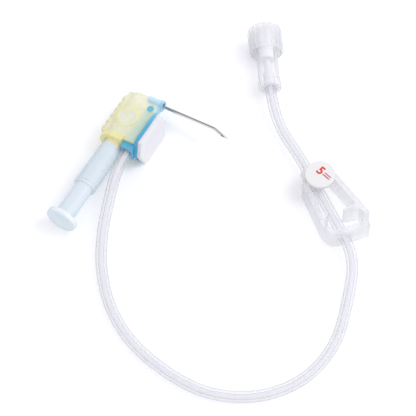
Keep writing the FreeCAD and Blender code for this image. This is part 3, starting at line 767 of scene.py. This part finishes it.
@dataclass(frozen=True)
class TubeWall:
    """Clear flexible tubing: nearly colourless face on, with painted lavender-grey shade at its edges where a clear
    tube looks dark, and faint die lines.

    Attributes:
        name: the material's name.
        clear: colour face on.
        edge: painted shade at the outline.
        roughness: least and most roughness.
        solidity: how much one skin of the wall hides, face on and at its outline.
        bore: how much the bore's skin hides.
        airy: how much less of the light a skin stops.
        fineness: the die lines' scale on the UV map.
        tone: how far a die line shifts the colour to either side.
    """

    name: str = "clear tubing"
    clear: Colour = (0.90, 0.90, 0.93)
    edge: Colour = (0.44, 0.43, 0.50)
    roughness: tuple[float, float] = (0.04, 0.10)
    solidity: tuple[float, float] = (0.1, 0.8)
    bore: float = 0.6
    airy: float = 0.65
    fineness: float = 5.0
    tone: float = 0.05

    def material(self) -> bpy.types.Material:
        """Builds the material on the tube's UV map, whose first direction is the outside, then the bore."""
        made = Surface(self.name)
        tree = made.tree
        grid = tree.nodes.new("ShaderNodeUVMap")
        grid.uv_map = "Grid"
        uv = grid.outputs["UV"]
        lines = Groups.add(tree, Effect.DRAWN, Vector=uv, Fineness=self.fineness)["Lines"]
        # The rim mixes in the edge colour's painted shade and makes the skin more opaque towards the outline.
        rim = Groups.math(tree, "POWER", made.facing(), 1.5, clamp=True)
        shift = Groups.math(tree, "MULTIPLY_ADD", lines, 2.0 * self.tone, -self.tone)
        toned = Groups.math(tree, "ADD", rim, shift, clamp=True)
        least, most = self.roughness
        face, outline = self.solidity
        bore = Groups.math(tree, "GREATER_THAN", Groups.split(tree, uv)["X"], 0.5)
        hides = Groups.math(tree, "MULTIPLY_ADD", rim, outline - face, face, clamp=True)
        hides = Groups.math(tree, "MAXIMUM", hides, Groups.math(tree, "MULTIPLY", bore, self.bore))
        made.set(
            Base_Color=Groups.blend(tree, toned, self.clear, self.edge),
            Roughness=Groups.math(tree, "MULTIPLY_ADD", lines, most - least, least, clamp=True),
            Alpha=made.let_light_in(hides, self.airy),
            IOR=1.5,
        )
        return made.material


# The edge colour of each finish is mixed in at its outline. Where it is darker than the thin colour it is painted
# shade; on the see-through finishes it is partly the deeper colour of the longer path through the plastic, and on the
# grip it is only that.
GRIP_YELLOW = Plastic(
    "grip yellow", thin=(0.93, 0.92, 0.66), deep=(1.0, 0.94, 0.40), edge=(0.96, 0.89, 0.42),
    placement=HEAD, roughness=0.28, rim_share=0.5, grain=2.5, solidity=(0.62, 0.92),
    regions=(
        Region(Effect.BAND, (-9.7,), 0.95, 0.3),
        Region(Effect.RING, (-6.9, -3.3), 2.75, 0.35, strength=0.75),
        Region(Effect.BAND, (-12.3,), 0.9, 0.8, axis="X", strength=0.6),
    ),
    tints=(
        (Region(Effect.RING, (-6.9, -3.3), 1.75, 0.35, strength=0.7), (0.83, 0.88, 0.96)),
        (Region(Effect.BAND, (-2.4,), 1.4, 2.0, axis="X", strength=0.45), (0.50, 0.76, 0.70)),
    ),
)
NOSE_BLUE = Plastic(
    "nose blue", thin=(0.62, 0.83, 0.96), deep=(0.30, 0.62, 0.82), edge=(0.18, 0.50, 0.74),
    placement=HEAD, roughness=0.2,
    regions=(Region(Effect.BAND, (-2.2,), 0.5, 0.3, axis="X", strength=0.6),),
)
BASE_TEAL = Plastic(
    "base teal", thin=(0.16, 0.53, 0.74), deep=(0.04, 0.33, 0.56), edge=(0.03, 0.30, 0.54),
    placement=HEAD, roughness=0.22,
    regions=(Region(Effect.BAND, (-7.0,), 4.5, 3.0, strength=0.5),),
)
SHEATH_BLUE = Plastic(
    "sheath blue", thin=(0.78, 0.87, 0.92), deep=(0.66, 0.80, 0.88), edge=(0.47, 0.70, 0.80),
    placement=HEAD, roughness=0.22, rim_share=0.8, grain=2.0, solidity=(0.22, 0.8),
    regions=(Region(Effect.BAND, (-35.5,), 0.8, 0.3, strength=0.6),),
    tints=((Region(Effect.BAND, (-10.8,), 0.75, 0.6, strength=0.85), (0.93, 0.82, 0.40)),),
    cores=(
        Core("Y", (-7.2, 0.0), 2.48, (-34.7, 2.0), colour=(0.76, 0.84, 0.89)),
        Core("Y", (-7.2, 0.0), 2.74, (-24.6, 2.0), colour=(0.76, 0.84, 0.89)),
        Core("Y", (-7.2, 0.0), 4.40, (-36.6, -34.7), colour=(0.89, 0.95, 0.98)),
    ),
)
CLAMP_NATURAL = Plastic(
    "natural clamp plastic", thin=(0.98, 0.98, 0.99), deep=(0.92, 0.92, 0.95), edge=(0.60, 0.60, 0.67),
    placement=CLAMP, roughness=0.3, rim_share=0.9, grain=2.5, solidity=(0.27, 1.0),
)
# The tag's dark grey edge colour is painted shade on its rim.
TAG_WHITE = Plastic(
    "tag white", thin=(0.895, 0.88, 0.865), deep=(0.82, 0.81, 0.80), edge=(0.36, 0.36, 0.41),
    placement=CLAMP, roughness=0.3, rim_share=0.8, grain=4.0,
)
PRINT_RED = Plastic(
    "red print", thin=(0.80, 0.05, 0.04), deep=(0.66, 0.03, 0.03), edge=(0.80, 0.05, 0.04),
    placement=CLAMP, roughness=0.45, grain=8.0, bump=0.002,
)
FINE_PRINT = Plastic(
    "small red print", thin=(0.62, 0.20, 0.24), deep=(0.55, 0.16, 0.20), edge=(0.62, 0.20, 0.24),
    placement=CLAMP, roughness=0.45, grain=8.0, bump=0.002,
)
CLEAR_RIGID = Plastic(
    "clear rigid plastic", thin=(0.95, 0.95, 0.97), deep=(0.88, 0.88, 0.92), edge=(0.46, 0.46, 0.53),
    placement=LUER, roughness=0.08, rim_share=0.8, grain=1.5, bump=0.002, haze=0.03, solidity=(0.30, 0.85),
    cores=(
        Core("X", (0.0, 0.0), 2.3, (-0.5, 17.0), colour=(0.85, 0.845, 0.89)),
        Core("X", (0.0, 0.0), 2.32, (9.0, 17.05), colour=(0.94, 0.935, 0.965)),
    ),
)


def dress(piece: Piece, material: bpy.types.Material) -> None:
    """Gives a piece one material in all its slots."""
    if not piece.material_slots:
        piece.data.materials.append(material)
    for slot in piece.material_slots:
        slot.material = material


# Sub-assemblies

@dataclass
class PackedSolids:
    """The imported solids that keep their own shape.

    Attributes:
        finishes: each finish with the nodes that it goes on.
    """

    finishes: tuple[tuple[Plastic | Steel, tuple[str, ...]], ...] = (
        (Steel(), ("needle",)),
        (NOSE_BLUE, ("needle_hub",)),
        (BASE_TEAL, ("base_body",)),
        (GRIP_YELLOW, ("gripper_housing",)),
        (CLAMP_NATURAL, ("clamp_body", "clamp_lever")),
        (TAG_WHITE, ("flow_tag",)),
        (CLEAR_RIGID, ("luer_connector", "luer_cap")),
    )

    def build(self) -> None:
        """Gives each node its finish."""
        for finish, nodes in self.finishes:
            material = finish.material()
            for node in nodes:
                dress(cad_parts[node], material)
                LOG.info("%s: %s", node, finish.name)


@dataclass
class Tubing:
    """The clear extension tube, from the base's socket to the luer's.

    Attributes:
        radius: outside radius in mm.
        lumen: radius of the bore in mm.
        length: its length in mm; not used.
        segments: points round the tube.
        route: the route's points in mm, in the row frame.
    """

    radius: float = 1.45
    lumen: float = 0.75
    length: float = 198.4
    segments: int = 40
    route: tuple[Point, ...] = (
        (-5.505, 5.35, 5.526), (-5.505, -1.35, 5.526), (-3.1, -9.3, 3.9), (-0.2, -17.8, 1.8), (4.6, -26.6, 1.5),
        (12.2, -35.1, 1.5), (22.0, -41.0, 1.5), (33.8, -43.6, 1.5), (45.6, -43.5, 1.5), (56.8, -37.8, 1.5),
        (63.9, -28.0, 1.5), (65.6, -16.4, 1.5), (62.9, -5.8, 1.5), (58.73, 6.38, 3.25), (48.20, 14.00, 3.25),
        (41.14, 19.09, 3.25), (32.92, 25.04, 3.25), (24.4, 30.4, 2.3), (18.42, 35.8, 4.55), (13.78, 42.68, 4.55),
    )

    def line(self) -> Array:
        """The smooth centreline, read from a NURBS spline of order 3 through the route.

        Returns:
            A (k, 3) array in the row frame, in metres.
        """
        curve = bpy.data.curves.new("tubing route", "CURVE")
        curve.dimensions = "3D"
        curve.resolution_u = 16
        spline = curve.splines.new("NURBS")
        spline.points.add(len(self.route) - 1)
        points = np.column_stack([np.array(self.route) * MM, np.ones(len(self.route))])
        spline.points.foreach_set("co", points.astype(np.float32).ravel())
        spline.order_u = 3
        spline.use_endpoint_u = True
        mesh = curve_mesh("tubing route", curve)
        line = mesh_points(mesh)
        bpy.data.meshes.remove(mesh)
        return line

    def build(self) -> Piece:
        """The tube's wall: circles across the centreline, out along the outside and back along the bore.

        The side direction at each point is the tangent crossed with Z, and the other is side crossed with
        the tangent, so the rings don't twist.

        Returns:
            The tube.
        """
        line = self.line()
        tangent = unit(np.gradient(line, axis=0))
        side = unit(np.cross(tangent, UP))
        up = np.cross(side, tangent)
        angle = around(self.segments)[None, :, None]
        ring = np.cos(angle) * side[:, None] + np.sin(angle) * up[:, None]
        outside = line[:, None] + ring * self.radius * MM
        bore = (line[:, None] + ring * self.lumen * MM)[::-1]
        tube = Shell(np.concatenate([outside, bore]), Ends.LOOP).build("clear_tubing")
        dress(tube, TubeWall().material())
        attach(tube, "set")
        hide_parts("tubing")
        LOG.info("tubing: %d points on its line", len(line))
        return tube


@dataclass
class FoamPad:
    """The white foam pad on the base plate, with its adhesive film below and a softly rounded top edge.

    Attributes:
        half_length: half its length along y, in mm.
        half_width: half its width along z, in mm.
        half_flank: half the length of its straight sides, in mm.
        middle: the y of its middle, in mm.
        thickness: its thickness, in mm.
        sharpness: how sharp the outline's corners are.
        segments: points round the outline.
        underside: the insets of the rings under it, in mm.
        film: (height, inset) of the rings up its film and over the groove between film and foam, in mm.
        flank: the height at which its straight flank starts, in mm.
        rounding: the radius of its top edge, in mm.
        crown: how much its face swells above that edge, in mm.
        face: the insets of the rings on its face, in mm.
        near: the inset up to which a ring keeps its distance from the outline; deeper ones are scaled.
    """

    half_length: float = 6.4
    half_width: float = 4.6
    half_flank: float = 4.95
    middle: float = -4.55
    thickness: float = 1.2
    sharpness: float = 44.0
    segments: int = 240
    underside: tuple[float, ...] = (5.5, 3.0, 1.2, 0.25, 0.02)
    film: tuple[tuple[float, float], ...] = (
        (0.03, 0.0), (0.16, 0.0), (0.19, 0.02), (0.21, 0.09), (0.24, 0.09), (0.27, 0.03),
    )
    flank: float = 0.31
    rounding: float = 0.32
    crown: float = 0.05
    face: tuple[float, ...] = (0.6, 1.0, 1.6, 2.4, 3.4, 4.3, 5.2)
    near: float = 1.5

    def outline(self, angle: Array) -> Array:
        """The outline's radius at each angle: r = (sum of max(0, n.u / d)^p)^(-1/p) over the six sides.

        Args:
            angle: angles in the plate's plane, from y towards z.

        Returns:
            The radius at each angle, in mm.
        """
        slant = unit(np.array([self.half_width, self.half_length - self.half_flank]))
        reach = slant[0] * self.half_length
        sides = np.array([
            [0.0, 1.0, self.half_width], [0.0, -1.0, self.half_width],
            [slant[0], slant[1], reach], [slant[0], -slant[1], reach],
            [-slant[0], slant[1], reach], [-slant[0], -slant[1], reach],
        ])
        way = np.stack([np.cos(angle), np.sin(angle)])
        share = np.maximum(sides[:, :2] @ way / sides[:, 2:], 0.0)
        return (share ** self.sharpness).sum(axis=0) ** (-1.0 / self.sharpness)

    def rows(self) -> Array:
        """(height, inset) of each ring: in from the middle below, up the film and flank, over the edge, inwards."""
        shoulder = self.thickness - self.crown
        top = shoulder - self.rounding
        rows = [(0.0, inset) for inset in self.underside] + list(self.film)
        rows += [(height, 0.0) for height in np.linspace(self.flank, top, 5)]
        rows += [
            (top + self.rounding * math.sin(a), self.rounding * (1.0 - math.cos(a)))
            for a in np.linspace(0.0, math.pi / 2.0, 9)[1:]
        ]
        rows += [(shoulder + self.crown * (1.0 - math.exp(self.rounding - i)), i) for i in self.face]
        return np.array(rows)

    def build(self) -> Piece:
        """The pad as rings of one outline.

        Returns:
            The pad.
        """
        angle = around(self.segments)
        edge = self.outline(angle)
        height, inset = self.rows().T[:, :, None]
        shrink = np.maximum(1.0 - inset / self.half_width, 0.0)
        radius = np.where(inset < self.near, edge - inset, edge * shrink)
        radius = np.maximum(radius, 0.05)
        y = self.middle + radius * np.cos(angle)
        z = radius * np.sin(angle)
        x = np.broadcast_to(height, y.shape)
        pad = Shell(HEAD.place(np.stack([x, y, z], axis=-1))).build("pad", sharp=60.0)
        dress(pad, Foam().material())
        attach(pad, "set")
        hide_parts("foam_pad")
        LOG.info("foam pad: %d rings", len(x))
        return pad


@dataclass
class Sheath:
    """The telescoping sheath: an outer tube with an end bead, and a blind inner tube with its thumb flange.

    Attributes:
        axis_x: the x of its axis in the head's frame, in mm.
        softness: how far from a corner its rounding starts, in mm.
        segments: points round a tube.
        outer: the outer tube's (place along y, radius) corners, in mm.
        inner: the inner tube's corners, from the flange's middle round to the blind bore's middle.
    """

    axis_x: float = -7.2
    softness: float = 0.28
    segments: int = 96
    outer: tuple[tuple[float, float], ...] = (
        (-25.0, 2.45), (-25.0, 3.03), (-23.8, 3.03), (-23.8, 2.95),
        (-3.5, 2.95), (-3.5, 2.55), (-23.8, 2.55), (-23.8, 2.45),
    )
    inner: tuple[tuple[float, float], ...] = (
        (-35.9, 0.02), (-35.92, 0.9), (-36.0, 1.7), (-36.2, 2.8), (-36.2, 4.1), (-34.9, 4.1), (-34.9, 2.4),
        (-16.2, 2.4), (-16.2, 2.5), (-15.2, 2.5), (-15.2, 1.9), (-34.9, 1.9), (-34.9, 0.02),
    )

    def build(self) -> list[Piece]:
        """Both tubes, turned about the arm's axis with softened corners.

        Returns:
            The outer and the inner tube.
        """
        base, along = np.array([self.axis_x, 0.0, 0.0]), np.array([0.0, 1.0, 0.0])
        material = SHEATH_BLUE.material()
        made = []
        for name, corners, ends, node, body in (
            ("outer_tube", self.outer, Ends.LOOP, "outer_sheath", "grip_arm"),
            ("inner_tube", self.inner, Ends.POLES, "inner_sheath", "thumb_tube"),
        ):
            profile = softened(np.array(corners), self.softness, closed=ends is Ends.LOOP)
            rings = turned_rings(profile, self.segments, base, along)
            tube = Shell(HEAD.place(rings), ends).build(name)
            dress(tube, material)
            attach(tube, body)
            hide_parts(node)
            made.append(tube)
            LOG.info("%s: %d corners", name, len(profile))
        return made


@dataclass
class TagPrint:
    """What is printed on the round tag: its plain number and two bars, in red.

    Attributes:
        centre: the tag's middle in the clamp's frame, in mm.
        top: the height of the tag's face, in mm.
        number: the plain number on it.
        number_height: the number's height, in mm.
        number_weight: how much its strokes are thickened, in mm.
        number_place: its middle, along and across the reading direction, in mm.
        capital: the height of a figure as a share of the font's size.
        reading: the direction in which it reads, in degrees, in the clamp's frame.
        ink: the print's thickness, in mm.
        squareness: the power of a bar's outline, 2 for an oval.
        bars: (start, across, length, width) of each bar along the reading direction, in mm.
    """

    centre: tuple[float, float] = (4.9, 17.1)
    top: float = 7.8
    number: str = "5"
    number_height: float = 2.3
    number_weight: float = 0.10
    number_place: tuple[float, float] = (-0.55, 0.75)
    capital: float = 0.7
    reading: float = -67.0
    ink: float = 0.02
    squareness: float = 6.0
    bars: tuple[tuple[float, float, float, float], ...] = ((0.6, 1.12, 2.1, 0.34), (0.45, 0.45, 2.3, 0.40))

    def spot(self, along: Array, across: Array, height: Array) -> Array:
        """Row points of places on the tag, measured from its middle along and across the reading direction."""
        a = math.radians(self.reading)
        x = self.centre[0] + along * math.cos(a) - across * math.sin(a)
        y = self.centre[1] + along * math.sin(a) + across * math.cos(a)
        return CLAMP.place(np.stack(np.broadcast_arrays(x, y, self.top + height), axis=-1))

    def figure(self) -> Piece:
        """The number, made from a plain font curve, turned into a mesh and then placed."""
        curve = bpy.data.curves.new("tag number", "FONT")
        curve.body = self.number
        curve.align_x = "CENTER"
        curve.align_y = "CENTER"
        curve.size = self.number_height / self.capital
        curve.offset = self.number_weight
        curve.extrude = self.ink
        mesh = curve_mesh("tag number", curve)
        u, v, height = mesh_points(mesh).T
        placed = self.spot(u + self.number_place[0], v + self.number_place[1], height)
        mesh.vertices.foreach_set("co", placed.astype(np.float32).ravel())
        mesh.update()
        return link("tag_number", mesh)

    def bar(self, name: str, start: float, across: float, length: float, width: float) -> Piece:
        """One printed bar: a rounded slab, |u|^p + |v|^p = 1 round its middle, a hair above the face."""
        angle = around(48)
        u, v = np.cos(angle), np.sin(angle)
        radius = (np.abs(u) ** self.squareness + np.abs(v) ** self.squareness) ** (-1.0 / self.squareness)
        u = start + length / 2.0 + radius * u * length / 2.0
        v = across + radius * v * width / 2.0
        rings = np.stack([self.spot(u, v, np.full(u.shape, h)) for h in (-self.ink, self.ink)])
        return Shell(rings).build(name)

    def build(self) -> list[Piece]:
        """Prints the tag.

        Returns:
            The printed pieces, the number first.
        """
        red, fine = PRINT_RED.material(), FINE_PRINT.material()
        made = [self.figure()]
        made += [self.bar(f"tag_bar_{k + 1}", *size) for k, size in enumerate(self.bars)]
        for piece in made:
            dress(piece, red if piece is made[0] else fine)
            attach(piece, "set")
            LOG.info("%s: printed", piece.name)
        return made


# Studio

@dataclass
class Studio:
    """Floor, light, world and camera.

    Attributes:
        target: the point of the floor in the picture's middle, in mm.
        distance: how far the camera is from it, in mm.
        elevation: the camera's height above the floor, in degrees.
        azimuth: the side from which the camera looks, in degrees from X.
        sensor: the camera's sensor width, in mm.
        lens: its focal length, in mm.
        floor_size: the floor's side, in metres.
        floor_drop: how far the floor lies below the part, in metres.
        floor_colour: the floor's colour.
        floor_glow: how much the floor brightens itself to the eye.
        light_colour: the surround's light on the part.
        light_strength: the strength of that light.
        ceiling_colour: what gloss shows of the ceiling.
        ceiling_reach: the heights of a direction between which the ceiling sets in.
        key_place: where the lamp is, in metres.
        key_aim: what it points at, in metres.
        key_size: its side, in metres.
        key_power: its power, in watts.
    """

    target: Point = (18.97, 2.05, 0.0)
    distance: float = 500.0
    elevation: float = 60.0
    azimuth: float = -60.0
    sensor: float = 36.0
    lens: float = 170.6
    floor_size: float = 3.0
    floor_drop: float = 0.00002
    floor_colour: Colour = (0.93, 0.93, 0.94)
    floor_glow: float = 0.14
    light_colour: Colour = (0.95, 0.95, 1.0)
    light_strength: float = 0.82
    ceiling_colour: Colour = (0.06, 0.055, 0.055)
    ceiling_reach: tuple[float, float] = (0.68, 0.88)
    key_place: Point = (0.30, 0.22, 0.50)
    key_aim: Point = (0.02, 0.0, 0.0)
    key_size: float = 0.28
    key_power: float = 1.1

    def camera(self) -> Piece:
        """A camera above the floor, looking along the photograph's direction."""
        data = bpy.data.cameras.new("camera")
        data.sensor_width = self.sensor
        data.lens = self.lens
        data.clip_start = 0.01
        camera = link("camera", data)
        high, round_z = math.radians(self.elevation), math.radians(self.azimuth)
        flat = math.cos(high)
        back = np.array([flat * math.cos(round_z), flat * math.sin(round_z), math.sin(high)])
        aim = np.array(self.target) * MM
        camera.matrix_world = looking(aim + back * self.distance * MM, aim)
        bpy.context.scene.camera = camera
        return camera

    @staticmethod
    def seen(tree: Tree) -> Socket:
        """1 for the rays that carry a picture to the eye: camera, glossy and transmission rays."""
        path = tree.nodes.new("ShaderNodeLightPath").outputs
        seen = Groups.math(tree, "ADD", path["Is Camera Ray"], path["Is Glossy Ray"], clamp=True)
        return Groups.math(tree, "ADD", seen, path["Is Transmission Ray"], clamp=True)

    def floor(self) -> Piece:
        """A flat pale floor that shows nearly white to the camera and keeps the soft shadows."""
        half = self.floor_size / 2.0
        mesh = bpy.data.meshes.new("floor")
        mesh.from_pydata([(-half, -half, 0), (half, -half, 0), (half, half, 0), (-half, half, 0)], [], [(0, 1, 2, 3)])
        floor = link("floor", mesh)
        floor.location.z = -self.floor_drop
        made = Surface("floor")
        glow = Groups.math(made.tree, "MULTIPLY", self.seen(made.tree), self.floor_glow)
        made.set(
            Base_Color=self.floor_colour, Roughness=0.9, Specular_IOR_Level=0.0,
            Emission_Color=(1.0, 1.0, 1.0), Emission_Strength=glow,
        )
        floor.data.materials.append(made.material)
        return floor

    def world(self) -> None:
        """A white surround, dark overhead to gloss as a studio's ceiling is, and lavender-white light on the part."""
        world = bpy.data.worlds.new("surround")
        bpy.context.scene.world = world
        world.use_nodes = True
        tree = world.node_tree
        light = tree.nodes["Background"]
        feed(tree, light.inputs["Color"], self.light_colour)
        feed(tree, light.inputs["Strength"], self.light_strength)
        way = tree.nodes.new("ShaderNodeTexCoord").outputs["Generated"]
        start, full = self.ceiling_reach
        slope = 1.0 / (full - start)
        overhead = Groups.math(
            tree, "MULTIPLY_ADD", Groups.split(tree, way)["Z"], slope, -start * slope, clamp=True
        )
        path = tree.nodes.new("ShaderNodeLightPath").outputs
        gloss = Groups.math(tree, "MULTIPLY", overhead, path["Is Glossy Ray"])
        shown = tree.nodes.new("ShaderNodeBackground")
        feed(tree, shown.inputs["Strength"], 1.0)
        feed(tree, shown.inputs["Color"], Groups.blend(tree, gloss, (1.0, 1.0, 1.0), self.ceiling_colour))
        mix = tree.nodes.new("ShaderNodeMixShader")
        for target, source in zip(mix.inputs, (self.seen(tree), light.outputs[0], shown.outputs[0])):
            tree.links.new(source, target)
        tree.links.new(mix.outputs[0], tree.nodes["World Output"].inputs["Surface"])

    def key(self) -> Piece:
        """The soft key lamp, kept out of reflections so that the thin needle keeps its tone."""
        data = bpy.data.lights.new("key", "AREA")
        data.shape = "SQUARE"
        data.size = self.key_size
        data.energy = self.key_power
        lamp = link("key", data)
        lamp.visible_glossy = False
        lamp.matrix_world = looking(np.array(self.key_place), np.array(self.key_aim))
        return lamp

    def build(self) -> None:
        """Sets the colour view, floor, world and lamp; the camera is made before."""
        bpy.context.scene.view_settings.view_transform = "Standard"
        self.floor()
        self.world()
        self.key()
        LOG.info("studio: floor, world and key lamp")


def main() -> None:
    """Builds the scene in order: camera, cord, the rest of the part, the studio."""
    logging.basicConfig(level=logging.INFO, format="%(message)s")
    studio = Studio()
    studio.camera()
    Tubing().build()
    PackedSolids().build()
    FoamPad().build()
    Sheath().build()
    TagPrint().build()
    studio.build()


if __name__ == "__main__":
    main()
